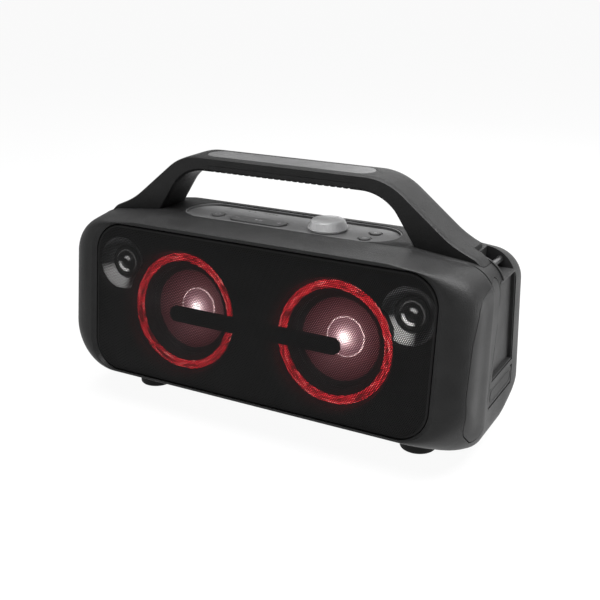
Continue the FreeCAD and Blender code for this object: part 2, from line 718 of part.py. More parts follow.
def port_bay():
    """The tray behind the flap, with openings for the two sockets."""
    outer = block((PORT_FLOOR_X - 2, 206.9), (PORT_Y[0] - 2, PORT_Y[1] + 2),
                  (PORT_Z[0] - 2, PORT_Z[1] + 2)).common(INNER)
    hollow = block((PORT_FLOOR_X, 210), PORT_Y, PORT_Z)
    tray = outer.cut(hollow)
    usb = block((190, 204), (USB_Y - 4.6, USB_Y + 4.6), (PORT_MIDDLE_Z - 1.7, PORT_MIDDLE_Z + 1.7))
    aux = Part.makeCylinder(3.2, 20, Vector(190, AUX_Y, PORT_MIDDLE_Z), X_AXIS)
    return tray.cut([usb, aux])


def usb_socket():
    """The charging socket: a steel shell with a tongue."""
    shell = block((192, PORT_FLOOR_X + 0.4), (USB_Y - 4.5, USB_Y + 4.5),
                  (PORT_MIDDLE_Z - 1.6, PORT_MIDDLE_Z + 1.6))
    mouth = block((194, 210), (USB_Y - 4.2, USB_Y + 4.2),
                  (PORT_MIDDLE_Z - 1.3, PORT_MIDDLE_Z + 1.3))
    tongue = block((193, 200), (USB_Y - 3.2, USB_Y + 3.2),
                   (PORT_MIDDLE_Z - 0.35, PORT_MIDDLE_Z + 0.35))
    return shell.cut(mouth).fuse(tongue)


def aux_socket():
    """The 3.5 mm jack socket: a barrel in front of its body."""
    body = block((188, PORT_FLOOR_X - 2), (AUX_Y - 5, AUX_Y + 5),
                 (PORT_MIDDLE_Z - 4, PORT_MIDDLE_Z + 4))
    barrel = Part.makeCylinder(3.1, 3.0, Vector(PORT_FLOOR_X - 2, AUX_Y, PORT_MIDDLE_Z), X_AXIS)
    bore = Part.makeCylinder(JACK_RADIUS, 14, Vector(190, AUX_Y, PORT_MIDDLE_Z), X_AXIS)
    return body.fuse(barrel).cut(bore)


HINGE_X = 208.4
HINGE_Z = PORT_Z[0] + 1.6
FLAP_HALF_THICK = 1.2


def port_cover():
    """The rubber flap over the sockets, hinged along the barrel at its lower edge."""
    y_range = (PORT_Y[0] + 0.4, PORT_Y[1] - 0.4)
    flap = block((HINGE_X - FLAP_HALF_THICK, HINGE_X + FLAP_HALF_THICK), y_range,
                 (HINGE_Z, PORT_Z[1] - 0.4))
    corners = [edge for edge in flap.Edges if edge.BoundBox.YLength < 0.1
               and edge.BoundBox.ZLength < 0.1 and edge.BoundBox.ZMin > HINGE_Z + 1]
    flap = flap.makeFillet(6.0, corners)
    barrel = Part.makeCylinder(FLAP_HALF_THICK, y_range[1] - y_range[0],
                               Vector(HINGE_X, y_range[0], HINGE_Z), Y_AXIS)
    return flap.fuse(barrel)


# --- Inside --------------------------------------------------------------------------------
BOARD_Y = 56.0
BOARD_X = (60.0, 170.0)
BOARD_HEIGHTS = (70.0, 150.0)
PORT_TUBE_Z = 118.0
PORT_TUBE_INNER = 20.0


def board_posts():
    """The posts on the rear shell that carry the amplifier board."""
    posts = []
    for x in (BOARD_X[0] + 6, BOARD_X[1] - 6):
        for z in (BOARD_HEIGHTS[0] + 6, BOARD_HEIGHTS[1] - 6):
            post = Part.makeCylinder(4.0, 30.0, Vector(x, BOARD_Y + BOARD_THICK, z), Y_AXIS)
            posts.append(post.common(OUTER))
    return posts


def amplifier_board():
    """The main circuit board with its largest parts and a finned heat sink."""
    board = block(BOARD_X, (BOARD_Y, BOARD_Y + BOARD_THICK), BOARD_HEIGHTS)
    parts = [block((72 + 14 * i, 80 + 14 * i), (BOARD_Y - 9, BOARD_Y), (80, 88 + 3 * i))
             for i in range(6)]
    sink = block((75, 135), (BOARD_Y - 4, BOARD_Y), (112, 142))
    fins = [block((75 + 6.4 * i, 77 + 6.4 * i), (BOARD_Y - 20, BOARD_Y - 4), (112, 142))
            for i in range(10)]
    return board.fuse(parts + [sink] + fins)


def battery_pack():
    """The rechargeable pack, on the floor of the cabinet behind the woofers."""
    pack = block((-75.0, 75.0), (10.0, 52.0), (24.0, 62.0))
    return pack.makeFillet(6.0, [edge for edge in pack.Edges if edge.BoundBox.XLength > 100])


def battery_bracket():
    """The tray that holds the battery above the floor."""
    tray = block((-78.0, 78.0), (7.0, 55.0), (WALL + BASE_Z, 42.0))
    room = block((-75.0, 75.0), (10.0, 52.0), (24.0, 50.0))
    under = block((-68.0, 68.0), (12.0, 50.0), (5.0, 21.0))
    return tray.cut([room, under, battery_pack()]).common(INNER)


def bass_port_hole():
    """The opening in the rear shell for the bass port."""
    return Part.makeCylinder(24.0, 60.0, Vector(0, 60, PORT_TUBE_Z), Y_AXIS)


def bass_port():
    """The flared tube that lets the bass out at the back."""
    rear_y = 78.4
    profile = [(20, 10), (23, 10), (23, 66), (24, 66), (24, rear_y), (23, rear_y),
               (20.8, rear_y - 3), (20, rear_y - 8)]
    points = [Vector(radius, y, 0) for radius, y in profile]
    face = Part.Face(Part.makePolygon(points + points[:1]))
    tube_solid = face.revolve(Vector(0, 0, 0), Y_AXIS, 360)
    tube_solid.translate(Vector(0, 0, PORT_TUBE_Z))
    return tube_solid


def shell_screws():
    """The long screws that pull the two shells together."""
    screws = []
    for x, z in screw_places():
        shank = Part.makeCylinder(1.75, 60.0, Vector(x, -30, z), Y_AXIS)
        head = Part.makeCylinder(3.5, 3.0, Vector(x, 30, z), Y_AXIS)
        socket = Part.makeCylinder(1.4, 2.0, Vector(x, 31.5, z), Y_AXIS)
        screws.append(shank.fuse(head).cut(socket))
    return Part.makeCompound(screws)


# --- Write everything -------------------------------------------------------------------------
os.makedirs("parts", exist_ok=True)

front_shell, rear_shell = shells()
export("front_shell", front_shell)
export("rear_shell", rear_shell)
export("feet", foot_pads())
export("strap_wells", on_both_sides(strap_well))
export("strap_bars", on_both_sides(strap_bar))

SIDES = {"left": -1, "right": 1}
BY_SIDE = {
    "side_panel": (side_panel, False),
    "side_pad": (side_pad, False),
    "woofer_basket": (basket, True),
    "woofer_magnet": (magnet, True),
    "woofer_surround": (surround, True),
    "woofer_cone": (cone, True),
    "dust_cap": (dust_cap, True),
    "voice_coil": (voice_coil, True),
    "woofer_spider": (spider, True),
    "light_ring": (light_ring, True),
    "tweeter_bowl": (tweeter_bowl, True),
    "tweeter_dome": (tweeter_dome, True),
}
for name, (make, leaning) in BY_SIDE.items():
    for word, side in SIDES.items():
        piece = make(side)
        export(name + "_" + word, lean(piece) if leaning else piece)

export("light_boards", lean(on_both_sides(light_board)))
export("tweeter_frames", lean(on_both_sides(tweeter_frame)))
export("grille", lean(grille()))
export("centre_bar", lean(centre_bar()))
export("baffle", baffle())

export("control_panel", control_panel())
for name in BUTTONS:
    export(name, button(name))
export("knob", knob())
export("knob_shaft", knob_shaft())
export("knob_encoder", knob_encoder())
export("indicator_lights", indicator_lights())
export("button_board", button_board())

whole_handle = handle_body()
export("handle_front_half", handle_half(whole_handle, -1))
export("handle_rear_half", handle_half(whole_handle, 1))
export("handle_top_plate", handle_top_plate())
export("handle_grip", handle_grip(whole_handle))

export("port_bay", port_bay())
export("usb_socket", usb_socket())
export("aux_socket", aux_socket())
export("port_cover", port_cover())

export("amplifier_board", amplifier_board())
export("battery_pack", battery_pack())
export("battery_bracket", battery_bracket())
export("bass_port", bass_port())
export("shell_screws", shell_screws())
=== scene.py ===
import math

import bpy
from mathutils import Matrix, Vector


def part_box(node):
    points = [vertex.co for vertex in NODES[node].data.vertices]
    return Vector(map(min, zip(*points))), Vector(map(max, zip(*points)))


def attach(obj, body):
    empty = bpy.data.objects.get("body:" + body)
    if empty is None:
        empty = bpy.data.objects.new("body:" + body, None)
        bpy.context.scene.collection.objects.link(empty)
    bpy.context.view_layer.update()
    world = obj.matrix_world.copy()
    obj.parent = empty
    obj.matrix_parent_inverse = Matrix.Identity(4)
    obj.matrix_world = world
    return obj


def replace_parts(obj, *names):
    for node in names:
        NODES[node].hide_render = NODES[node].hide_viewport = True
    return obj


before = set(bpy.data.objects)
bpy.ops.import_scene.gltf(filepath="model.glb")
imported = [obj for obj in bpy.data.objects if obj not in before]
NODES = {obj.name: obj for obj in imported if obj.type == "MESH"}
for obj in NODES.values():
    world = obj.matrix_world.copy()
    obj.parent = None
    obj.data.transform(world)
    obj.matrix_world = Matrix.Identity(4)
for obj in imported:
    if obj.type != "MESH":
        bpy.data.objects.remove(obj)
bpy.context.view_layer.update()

MM = 0.001
SIDES = {"left": -1, "right": 1}

# --- The leaning front ----------------------------------------------------------------------
# Places on it are in mm: u across, v up the face from the height of the woofers.
TILT = math.radians(6.878)          # the grille and all behind it lean back by this
FACE_Y = -74.5                      # mm, the grille's face at the height of the woofers
FACE_Z = 105.0                      # mm, that height
WOOFER_X = 80.0
TWEETER_X = 150.4
TWEETER_V = 38.0
GRILLE_HALF = 177.0
GRILLE_TOP = 76.5
GRILLE_BOTTOM = -69.8
CORNER_RADIUS = 29.5


def lean(u, v, depth):
    """A point on the leaning front: u across, v up the face, depth behind it, all in mm."""
    y = FACE_Y + depth * math.cos(TILT) + v * math.sin(TILT)
    z = FACE_Z - depth * math.sin(TILT) + v * math.cos(TILT)
    return Vector((u, y, z)) * MM


# --- Materials ------------------------------------------------------------------------------
class Shader:
    """A Principled material with the few helpers that its node tree needs."""

    def __init__(self, name, material=None):
        self.material = material or bpy.data.materials.new(name)
        self.material.use_nodes = True
        self.tree = self.material.node_tree
        self.main = self.tree.nodes["Principled BSDF"]
        self.place = self.node("ShaderNodeTexCoord").outputs["Object"]

    def node(self, kind, inputs=(), **settings):
        """A new node; each input is a number, a vector or another node's output."""
        made = self.tree.nodes.new(kind)
        for key, value in settings.items():
            setattr(made, key, value)
        for key, value in dict(inputs).items():
            if isinstance(value, bpy.types.NodeSocket):
                self.tree.links.new(value, made.inputs[key])
            else:
                made.inputs[key].default_value = value
        return made

    def math(self, operation, *values):
        inputs = dict(enumerate(values))
        return self.node("ShaderNodeMath", inputs, operation=operation).outputs[0]

    def noise(self, scale, detail=3.0, vector=None, distortion=0.0):
        place = self.place if vector is None else vector
        inputs = {"Vector": place, "Scale": scale, "Detail": detail, "Distortion": distortion}
        return self.node("ShaderNodeTexNoise", inputs).outputs[0]

    def span(self, value, from_range, to_range):
        """The value carried from one range to another and held within it."""
        inputs = {"Value": value, "From Min": from_range[0], "From Max": from_range[1],
                  "To Min": to_range[0], "To Max": to_range[1]}
        return self.node("ShaderNodeMapRange", inputs).outputs[0]

    def ramp(self, value, stops):
        made = self.node("ShaderNodeValToRGB", {0: value})
        elements = made.color_ramp.elements
        while len(elements) < len(stops):
            elements.new(0.5)
        for element, (position, colour) in zip(elements, stops):
            element.position = position
            element.color = (*colour, 1.0)
        return made.outputs[0]

    def link(self, output, socket):
        self.tree.links.new(output, self.main.inputs[socket])

    def bump(self, height, distance, under=None):
        """A bumped normal over the one under it; the distance is in metres."""
        inputs = {"Height": height, "Distance": distance}
        if under is not None:
            inputs["Normal"] = under
        return self.node("ShaderNodeBump", inputs).outputs[0]


def finish_of(name, colour, roughness, metallic=0.0, tint=0.14, patch=55.0, uneven=0.08,
              grain=900.0, height=0.0, edge=0.0, stretch=None, **shader_constants):
    """A moulded, cast or brushed finish: grain, uneven gloss, faint patches of tint.

    grain and patch are noise scales, height is the grain's depth and edge the softened
    edges' radius in metres, and the constants are set on the shader's own sockets.
    """
    s = Shader(name)
    patches = s.noise(patch, 4.0)
    dark = [c * (1 - tint) for c in colour]
    light = [c * (1 + tint) for c in colour]
    s.link(s.ramp(patches, [(0.3, dark), (0.7, light)]), "Base Color")
    place = s.place
    if stretch:
        place = s.node("ShaderNodeMapping", {"Vector": place, "Scale": stretch}).outputs[0]
    fine = s.noise(grain, 2.0, place)
    rubbed = s.math("ADD", s.noise(patch * 0.45, 3.0), s.math("MULTIPLY", fine, 0.5))
    s.link(s.span(rubbed, (0.45, 1.05), (roughness - uneven, roughness + uneven)), "Roughness")
    under = None
    if edge:
        under = s.node("ShaderNodeBevel", {"Radius": edge}, samples=4).outputs[0]
    if height:
        under = s.bump(fine, height, under)
    if under is not None:
        s.link(under, "Normal")
    s.main.inputs["Metallic"].default_value = metallic
    for key, value in shader_constants.items():
        s.main.inputs[key.replace("_", " ")].default_value = value
    return s.material


def grey(level):
    return (level, level, level * 1.01)


SATIN = {"height": 0.0003, "edge": 0.0006, "Specular_IOR_Level": 0.2}
MATERIALS = {
    "shell": finish_of("shell_plastic", grey(0.015), 0.46, **SATIN),
    "handle": finish_of("handle_plastic", grey(0.011), 0.45, **SATIN),
    "trim": finish_of("trim_plastic", grey(0.022), 0.44, **SATIN),
    "pad": finish_of("side_pad_rubber", grey(0.017), 0.52, grain=1300.0, height=0.00018,
                     edge=0.0006, Specular_IOR_Level=0.3),
    "flap": finish_of("flap_rubber", grey(0.021), 0.60, grain=1100.0, height=0.00015,
                      edge=0.0005, Specular_IOR_Level=0.3),
    "foot_rubber": finish_of("foot_rubber", grey(0.004), 0.72, grain=700.0, height=0.0002,
                             Specular_IOR_Level=0.2),
    "grip_rubber": finish_of("grip_rubber", grey(0.016), 0.66, grain=1100.0, height=0.0002,
                             Specular_IOR_Level=0.2),
    "handle_plate": finish_of("handle_plate", grey(0.072), 0.42, grain=1500.0,
                              height=0.0001, edge=0.0004),
    "steel": finish_of("black_steel", grey(0.12), 0.34, metallic=1.0, stretch=(1, 1, 12),
                       grain=500.0, height=0.00006),
    "magnet": finish_of("ferrite", grey(0.05), 0.55, grain=500.0, height=0.0002),
    "grille_metal": finish_of("grille_metal", grey(0.006), 0.42, grain=800.0,
                              height=0.00005, Specular_IOR_Level=0.16),
    "bar": finish_of("bridge_plastic", grey(0.004), 0.75, grain=900.0, height=0.0001,
                     Specular_IOR_Level=0.12),
    "baffle": finish_of("baffle_plastic", grey(0.005), 0.62, grain=700.0, height=0.0002,
                        Specular_IOR_Level=0.2),
    "basket": finish_of("basket_steel", grey(0.03), 0.5, grain=600.0, height=0.0002),
    "surround": finish_of("surround_rubber", grey(0.006), 0.6, grain=900.0, height=0.0001,
                          Specular_IOR_Level=0.25),
    "coil": finish_of("copper_wire", (0.55, 0.22, 0.09), 0.35, metallic=0.8,
                      stretch=(1, 14, 1), grain=400.0, height=0.0002),
    "spider": finish_of("spider_cloth", (0.45, 0.30, 0.10), 0.85, grain=1500.0,
                        height=0.0003),
    "dome": finish_of("silk_dome", grey(0.02), 0.20, grain=2200.0, height=0.00004,
                      uneven=0.05, Specular_IOR_Level=1.0),
    "tweeter_frame": finish_of("tweeter_ring", grey(0.008), 0.16, grain=900.0,
                               height=0.00002, uneven=0.05, Specular_IOR_Level=1.0),
    "bowl": finish_of("silver_bowl", (0.26, 0.26, 0.27), 0.34, metallic=1.0,
                      stretch=(1, 1, 6), grain=500.0, height=0.00001, uneven=0.05),
    "panel": finish_of("panel_plastic", grey(0.140), 0.50, grain=1400.0, height=0.0001,
                       edge=0.0004),
    "button": finish_of("button_plastic", grey(0.105), 0.46, grain=1400.0, height=0.0001,
                        edge=0.0004),
    "brass": finish_of("brass", (0.60, 0.42, 0.16), 0.32, metallic=1.0, stretch=(1, 1, 9),
                       grain=500.0, height=0.00005),
    "encoder": finish_of("encoder_case", grey(0.35), 0.40, metallic=0.9, grain=700.0,
                         height=0.0001),
    "socket": finish_of("socket_shell", grey(0.30), 0.36, metallic=0.9, grain=700.0,
                        height=0.0001),
    "battery": finish_of("battery_wrap", (0.04, 0.09, 0.20), 0.42, grain=500.0,
                         height=0.0002),
    "knob": finish_of("knob_plastic", grey(0.52), 0.38, tint=0.08, grain=1500.0,
                      height=0.00008, edge=0.0004),
    "icon": finish_of("icon_print", grey(0.42), 0.60, grain=1500.0, height=0.00003),
}


def board_material():
    """Green circuit board with a lattice of copper tracks."""
    s = Shader("circuit_board")
    cells = s.node("ShaderNodeTexVoronoi", {"Vector": s.place, "Scale": 260.0},
                   distance="CHEBYCHEV", feature="F1").outputs[0]
    s.link(s.ramp(cells, [(0.08, (0.42, 0.30, 0.10)), (0.14, (0.010, 0.075, 0.030))]),
           "Base Color")
    s.link(s.span(s.noise(90.0), (0.3, 0.7), (0.3, 0.5)), "Roughness")
    s.link(s.bump(cells, 0.0002), "Normal")
    return s.material


def polar(s, centre_x, centre_v=0.0):
    """Angle in turns and radius in mm about a driver's axis."""
    centre = lean(centre_x, centre_v, 0.0)
    offset = s.node("ShaderNodeVectorMath", {0: s.place, 1: centre},
                    operation="SUBTRACT").outputs[0]
    level = s.node("ShaderNodeMapping", {"Vector": offset, "Rotation": (TILT, 0, 0)})
    parts = s.node("ShaderNodeSeparateXYZ", {0: level.outputs[0]}).outputs
    angle = s.math("DIVIDE", s.math("ARCTAN2", parts["Z"], parts["X"]), 2 * math.pi)
    squared = s.math("ADD", s.math("MULTIPLY", parts["X"], parts["X"]),
                     s.math("MULTIPLY", parts["Z"], parts["Z"]))
    return angle, s.math("MULTIPLY", s.math("SQRT", squared), 1 / MM)


def light_guide(name, centre_x, seed):
    """A lit ring with long drifting streaks of lighter red."""
    s = Shader(name)
    angle, radius = polar(s, centre_x)
    turn = s.math("MULTIPLY", angle, 2 * math.pi)
    drift = s.node("ShaderNodeCombineXYZ", {
        "X": s.math("MULTIPLY", s.math("COSINE", turn), 2.2),
        "Y": s.math("MULTIPLY", s.math("SINE", turn), 2.2),
        "Z": s.math("ADD", s.math("MULTIPLY", radius, 0.30), seed)}).outputs[0]
    streaks = s.noise(2.1, 4.0, drift, 0.9)
    colour = s.ramp(streaks, [(0.38, (0.10, 0.001, 0.004)), (0.48, (0.50, 0.005, 0.015)),
                              (0.58, (0.95, 0.022, 0.036)), (0.68, (1.0, 0.26, 0.24))])
    s.link(s.ramp(streaks, [(0.3, (0.25, 0.01, 0.01)), (0.7, (0.6, 0.12, 0.10))]),
           "Base Color")
    s.link(colour, "Emission Color")
    s.link(s.span(streaks, (0.3, 0.7), (0.25, 0.45)), "Roughness")
    s.link(s.bump(streaks, 0.0006), "Normal")
    s.main.inputs["Emission Strength"].default_value = 2.1
    return s.material


def paper_with_painted_glow(name, centre_x, stops, base, roughness, strength):
    """A driver's paper with the rings' light painted on as emission: a radial fall of painted
    light over fine fibres.
    """
    s = Shader(name)
    _, radius = polar(s, centre_x)
    fibres = s.noise(1400.0, 3.0)
    wobble = s.math("ADD", radius, s.span(fibres, (0.0, 1.0), (-0.8, 0.8)))
    painted_glow = s.ramp(s.math("DIVIDE", wobble, LIT_RADIUS), stops)
    # painted light of the rings, falling off with the radius
    s.link(painted_glow, "Emission Color")
    dark = [c * 0.8 for c in base]
    s.link(s.ramp(s.noise(160.0), [(0.3, dark), (0.7, base)]), "Base Color")
    s.link(s.span(fibres, (0.3, 0.7), (roughness - 0.08, roughness + 0.08)), "Roughness")
    s.link(s.bump(fibres, 0.0002), "Normal")
    s.main.inputs["Emission Strength"].default_value = strength
    return s.material


def paint_glints(finish, strength, glints):
    """Paints soft highlights as emission on both tweeters, each painted glint an arc: its
    radius and half its width in mm, its direction and half its spread in turns, and its share
    of the strength."""
    s = Shader(finish.name, finish)
    arcs = []
    for side in SIDES.values():
        angle, radius = polar(s, side * TWEETER_X, TWEETER_V)
        for middle, half_width, turn, spread, share in glints:
            off = s.math("COSINE", s.math("MULTIPLY", s.math("SUBTRACT", angle, turn),
                                          2 * math.pi))
            along = s.span(off, (math.cos(2 * math.pi * spread),
                                 math.cos(math.pi * spread)), (0.0, 1.0))
            away = s.math("ABSOLUTE", s.math("SUBTRACT", radius, middle))
            across = s.span(away, (0.4 * half_width, half_width), (share, 0.0))
            arcs.append(s.math("MULTIPLY", along, across))
    total = arcs[0]
    for arc in arcs[1:]:
        total = s.math("ADD", total, arc)
    # painted highlight, broken up a little by noise
    painted_glint = s.math("MULTIPLY", total, s.span(s.noise(500.0), (0.3, 0.7), (0.8, 1.0)))
    s.link(s.ramp(painted_glint, [(0.0, (0.0, 0.0, 0.0)), (1.0, (1.0, 0.985, 0.98))]), "Emission Color")
    s.main.inputs["Emission Strength"].default_value = strength


def unlit_lens(name, colour):
    """A small frosted light pipe with its lamp off."""
    s = Shader(name)
    cloud = s.noise(900.0)
    dim = [c * 0.7 for c in colour]
    s.link(s.ramp(cloud, [(0.3, dim), (0.7, colour)]), "Base Color")
    s.link(s.span(cloud, (0.3, 0.7), (0.3, 0.5)), "Roughness")
    return s.material


LIT_RADIUS = 40.0                   # mm, where the painted fall of light from the rings ends
# Stops are (share of that radius, colour of the painted glow); the cap's first ones are a
# painted highlight at its centre and its last ones its glued edge, painted as a brighter lit
# rim.
CONE_STOPS = [(0.0, (0.30, 0.13, 0.14)), (0.45, (0.22, 0.075, 0.085)),
              (0.70, (0.13, 0.034, 0.042)), (0.90, (0.075, 0.012, 0.017)),
              (1.0, (0.05, 0.006, 0.01))]
CAP_STOPS = [(0.0, (1.0, 0.96, 0.96)), (0.075, (1.0, 0.90, 0.90)),
             (0.13, (0.60, 0.43, 0.45)), (0.22, (0.27, 0.155, 0.17)),
             (0.34, (0.12, 0.055, 0.064)), (0.44, (0.10, 0.043, 0.05)),
             (0.455, (0.50, 0.36, 0.36)), (0.48, (0.46, 0.31, 0.31))]
# Directions of the tweeters' painted glints (emission standing in for reflections of the
# lights), in turns anticlockwise from the right.
LOWER_LEFT = 0.66
UPPER_RIGHT = 0.20
# Painted highlights on the tweeters: a bright patch on each bowl's lower left, a crescent and
# a faint arc on each ring, a small arc on each dome.
paint_glints(MATERIALS["bowl"], 1.2, [(20.5, 7.5, LOWER_LEFT, 0.135, 1.0)])
paint_glints(MATERIALS["tweeter_frame"], 2.6, [(8.5, 1.7, LOWER_LEFT, 0.16, 1.0),
                                           (11.3, 0.9, UPPER_RIGHT, 0.34, 0.10)])
paint_glints(MATERIALS["dome"], 1.5, [(4.4, 1.5, UPPER_RIGHT, 0.14, 1.0)])
MATERIALS["board"] = board_material()
MATERIALS["indicator"] = unlit_lens("indicator_lens", (0.02, 0.02, 0.022))
# Each ring is a lamp; its cone and dust cap get the ring's light painted on as emission.
for (side, sign), seed in zip(SIDES.items(), (0.0, 3.0)):
    woofer_x = sign * WOOFER_X
    MATERIALS["light_" + side] = light_guide("light_guide_" + side, woofer_x, seed)
    MATERIALS["cone_" + side] = paper_with_painted_glow("cone_paper_" + side, woofer_x, CONE_STOPS,
                                          (0.10, 0.055, 0.06), 0.5, 1.8)
    MATERIALS["dust_cap_" + side] = paper_with_painted_glow("cap_paper_" + side, woofer_x, CAP_STOPS,
                                              (0.16, 0.09, 0.10), 0.35, 6.4)

# Which material each CAD node has.
NODE_FINISH = {
    "shell": ("front_shell", "rear_shell"),
    "handle": ("handle_front_half", "handle_rear_half"),
    "trim": ("side_panel_left", "side_panel_right", "strap_wells", "port_bay", "bass_port",
             "battery_bracket"),
    "pad": ("side_pad_left", "side_pad_right"),
    "flap": ("port_cover",),
    "foot_rubber": ("feet",),
    "grip_rubber": ("handle_grip",),
    "handle_plate": ("handle_top_plate",),
    "steel": ("strap_bars", "shell_screws"),
    "magnet": ("woofer_magnet_left", "woofer_magnet_right"),
    "grille_metal": ("grille",),
    "bar": ("centre_bar",),
    "baffle": ("baffle",),
    "light_left": ("light_ring_left",),
    "light_right": ("light_ring_right",),
    "board": ("light_boards", "amplifier_board", "button_board"),
    "basket": ("woofer_basket_left", "woofer_basket_right"),
    "surround": ("woofer_surround_left", "woofer_surround_right"),
    "cone_left": ("woofer_cone_left",),
    "cone_right": ("woofer_cone_right",),
    "dust_cap_left": ("dust_cap_left",),
    "dust_cap_right": ("dust_cap_right",),
    "coil": ("voice_coil_left", "voice_coil_right"),
    "spider": ("woofer_spider_left", "woofer_spider_right"),
    "bowl": ("tweeter_bowl_left", "tweeter_bowl_right"),
    "dome": ("tweeter_dome_left", "tweeter_dome_right"),
    "tweeter_frame": ("tweeter_frames",),
    "panel": ("control_panel",),
    "button": ("power_button", "transport_button", "mode_button", "light_button"),
    "knob": ("knob",),
    "brass": ("knob_shaft",),
    "encoder": ("knob_encoder",),
    "indicator": ("indicator_lights",),
    "socket": ("usb_socket", "aux_socket"),
    "battery": ("battery_pack",),
}


def smooth(obj, angle):
    """Rounds the shading over every edge flatter than the angle in degrees."""
    weld = obj.modifiers.new("weld", "WELD")
    weld.merge_threshold = WELD_GAP
    split = obj.modifiers.new("creases", "EDGE_SPLIT")
    split.split_angle = math.radians(angle)
    obj.data.shade_smooth()


for finish, members in NODE_FINISH.items():
    for member in members:
        node = NODES[member]
        node.data.materials.clear()
        node.data.materials.append(MATERIALS[finish])


# --- New pieces -----------------------------------------------------------------------------
def piece(name, points, faces, finish, body, is_smooth=False):
    """A mesh piece that rides on a body; points are in metres in the row frame."""
    mesh = bpy.data.meshes.new(name)
    mesh.from_pydata(points, [], faces)
    mesh.update()
    mesh.materials.append(MATERIALS[finish])
    obj = bpy.data.objects.new(name, mesh)
    bpy.context.scene.collection.objects.link(obj)
    if is_smooth:
        mesh.shade_smooth()
    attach(obj, body)
    return obj


def rounded_rectangle(half, low, high, radius, steps=12):
    """Points (a, b) of a rounded rectangle, anticlockwise, centred across."""
    side, top, bottom = half - radius, high - radius, low + radius
    points = []
    for quarter, (a, b) in enumerate(((side, top), (-side, top), (-side, bottom),
                                      (side, bottom))):
        for i in range(steps + 1):
            turn = math.pi / 2 * (quarter + i / steps)
            points.append((a + radius * math.cos(turn), b + radius * math.sin(turn)))
    return points


def banded(name, rings, finish, body):
    """A smooth band of faces through closed rings of equally many points."""
    count = len(rings[0])
    points = [point for ring in rings for point in ring]
    faces = [(k * count + i, (k + 1) * count + i, (k + 1) * count + (i + 1) % count,
              k * count + (i + 1) % count)
             for k in range(len(rings) - 1) for i in range(count)]
    return piece(name, points, faces, finish, body, True)


# --- The perforated grille ------------------------------------------------------------------
PITCH = 1.8                         # mm, from hole to hole
HOLE_RADIUS = 0.64                  # mm, to a hole's corners
MESH_FRONT = 0.12                   # mm, depth of the sheet's face behind the rim's
MESH_BACK = 0.75
RIM_WIDTH = 2.4
CELL_MARGIN = 1.1                   # mm from the outline to the outermost holes' centres
RIM_DEPTH = 4.6
RIM_PROFILE = ((RIM_WIDTH, MESH_FRONT), (RIM_WIDTH - 0.2, 0.03), (0.7, 0.03), (0.25, 0.35),
               (0.1, 0.9), (0.1, RIM_DEPTH), (0.9, RIM_DEPTH))  # mm inside the outline, depth


def rounded_outline(inset):
    """The grille's outline, drawn in by inset, as points (u, v) anticlockwise."""
    return rounded_rectangle(GRILLE_HALF - inset, GRILLE_BOTTOM + inset, GRILLE_TOP - inset,
                             CORNER_RADIUS - inset)


def inside_outline(u, v, inset):
    """Whether a point of the face is within the outline drawn in by inset."""
    radius = CORNER_RADIUS - inset
    du = abs(u) - (GRILLE_HALF - CORNER_RADIUS)
    dv = max(v - (GRILLE_TOP - CORNER_RADIUS), GRILLE_BOTTOM + CORNER_RADIUS - v)
    if du <= 0 or dv <= 0:
        return max(du, dv) < radius
    return math.hypot(du, dv) < radius


def perforated(name, from_u, to_u):
    """A third of the grille's sheet: a honeycomb of cells, each with a hole through it."""
    points, faces = [], []
    row_step = PITCH * math.sqrt(3) / 2
    first, last = math.ceil(from_u / PITCH - 0.5), math.ceil(to_u / PITCH - 0.5)
    for row in range(int((GRILLE_TOP - GRILLE_BOTTOM) / row_step)):
        v = GRILLE_BOTTOM + (row + 0.5) * row_step
        for column in range(first, last):
            u = PITCH * (column + 0.5 * (row % 2))
            if not inside_outline(u, v, CELL_MARGIN):
                continue
            base = len(points)
            for radius, depth in ((PITCH / math.sqrt(3), MESH_FRONT),
                                  (HOLE_RADIUS, MESH_FRONT), (HOLE_RADIUS, MESH_BACK)):
                for corner in range(6):
                    a = math.pi / 6 + corner * math.pi / 3
                    points.append(lean(u + radius * math.cos(a), v + radius * math.sin(a),
                                       depth))
            for loop in (base, base + 6):
                for i in range(6):
                    j = (i + 1) % 6
                    faces.append((loop + i, loop + j, loop + 6 + j, loop + 6 + i))
    made = piece(name, points, faces, "grille_metal", "cabinet")
    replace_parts(made, "grille")


def grille_rim():
    """The plain border of the grille with its edge turned back."""
    rings = [[lean(u, v, depth) for u, v in rounded_outline(inset)]
             for inset, depth in RIM_PROFILE]
    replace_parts(banded("grille_rim", rings, "grille_metal", "cabinet"), "grille")


perforated("grille_mesh_left", -GRILLE_HALF, -GRILLE_HALF / 3)
perforated("grille_mesh_middle", -GRILLE_HALF / 3, GRILLE_HALF / 3)
perforated("grille_mesh_right", GRILLE_HALF / 3, GRILLE_HALF)
grille_rim()


# --- The raised bead on the socket flap -----------------------------------------------------
BEAD_PROFILE = ((3.0, -0.25), (3.15, 0.25), (3.6, 0.45), (4.05, 0.25), (4.2, -0.25))


def flap_bead():
    """A rounded bead near the flap's edge, its profile in mm inside the edge and outward."""
    flap_low, flap_high = (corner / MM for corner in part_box("port_cover"))
    middle_y = (flap_low.y + flap_high.y) / 2
    half = (flap_high.y - flap_low.y) / 2
    rings = []
    for inset, proud in BEAD_PROFILE:
        outline = rounded_rectangle(half - inset, flap_low.z + inset, flap_high.z - inset,
                                    (flap_high.z - flap_low.z) / 2 - inset - 0.5)
        rings.append([Vector((flap_high.x + proud, middle_y + a, b)) * MM
                      for a, b in outline])
    banded("flap_bead", rings, "flap", "port_cover")


flap_bead()

